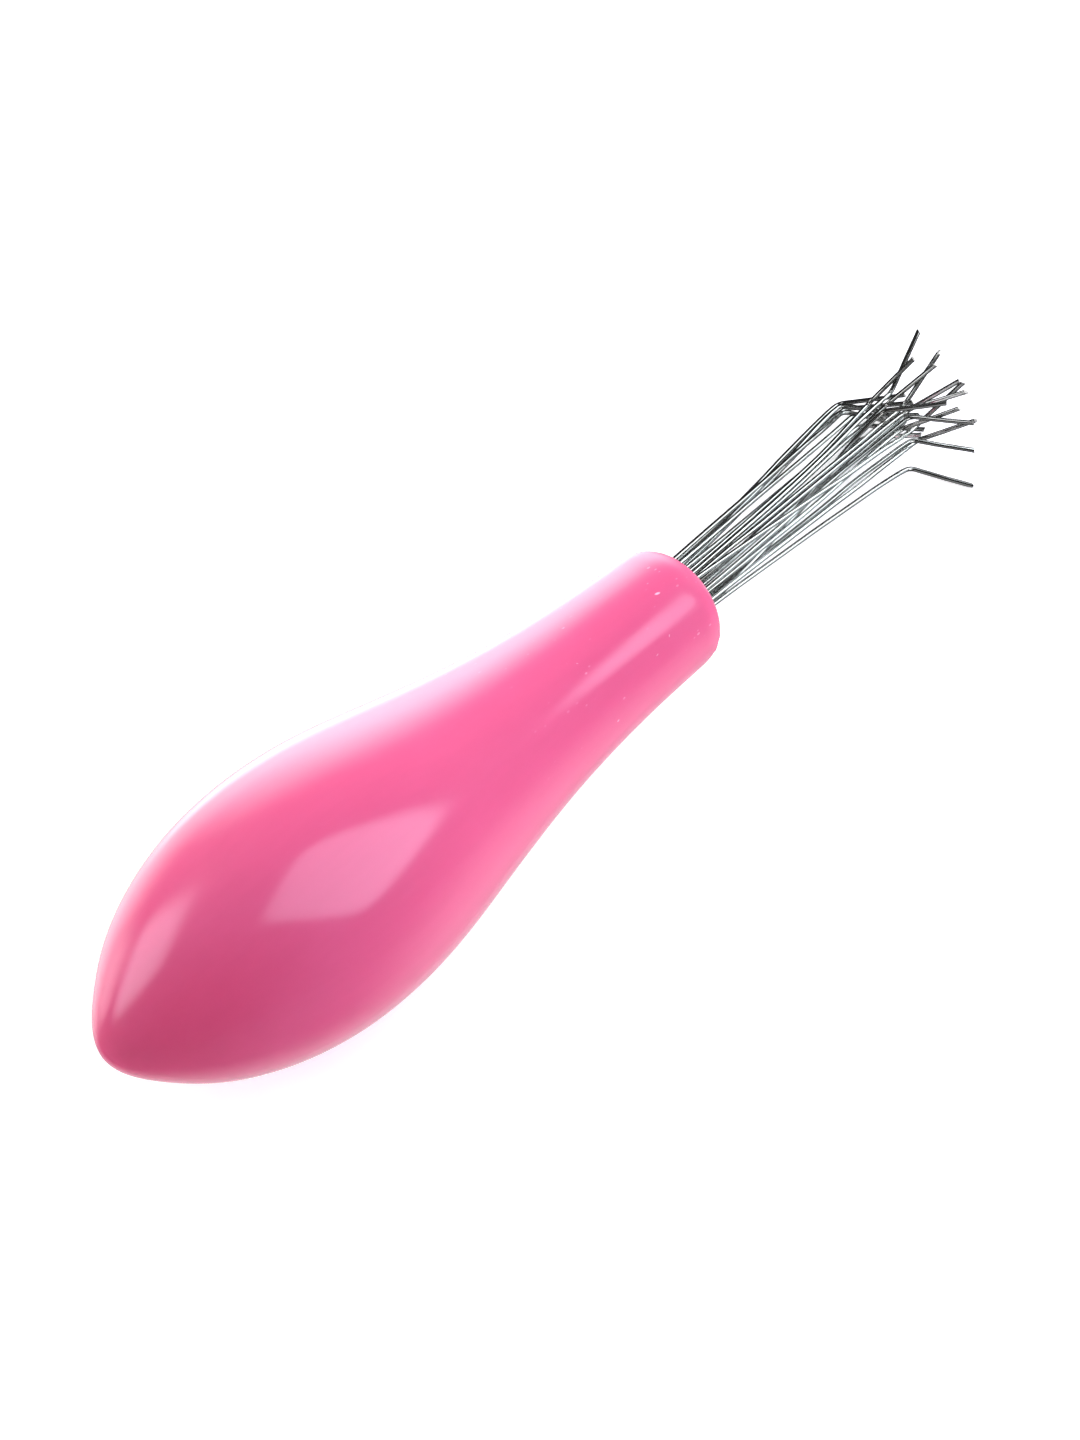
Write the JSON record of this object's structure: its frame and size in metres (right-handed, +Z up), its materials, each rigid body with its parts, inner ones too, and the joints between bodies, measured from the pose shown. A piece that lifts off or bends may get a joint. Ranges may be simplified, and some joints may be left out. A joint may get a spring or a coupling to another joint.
{
  "type": "comb and hairbrush cleaning rake",
  "caption": "Small hand rake for cleaning combs and brushes: a bulbous turned plastic handle with a bundle of stiff steel wire tines, each bent to a hook at its end.",
  "frame": {"origin": "middle of the outline seen from above, at the level of the surface that the tool lies on", "axes": "+Z up as the tool lies at rest on a table; +X along the tool, from the butt of the handle to the tines, which lie nose down; +Y to the left of that"},
  "size_m": [0.1112, 0.0256, 0.026],
  "materials": {
    "handle": "glossy moulded pink plastic",
    "adhesive": "cured adhesive, satin",
    "tines": "bright drawn spring-steel wire"
  },
  "bodies": {
    "root": {"handle": "handle", "adhesive_plug": "adhesive", "wire_tine_01": "tines", "wire_tine_02": "tines", "wire_tine_03": "tines", "wire_tine_04": "tines", "wire_tine_05": "tines", "wire_tine_06": "tines", "wire_tine_07": "tines", "wire_tine_08": "tines", "wire_tine_09": "tines", "wire_tine_10": "tines", "wire_tine_11": "tines", "wire_tine_12": "tines", "wire_tine_13": "tines", "wire_tine_14": "tines", "wire_tine_15": "tines", "wire_tine_16": "tines", "wire_tine_17": "tines", "wire_tine_18": "tines", "wire_tine_19": "tines", "wire_tine_20": "tines"}
  },
  "joints": []
}
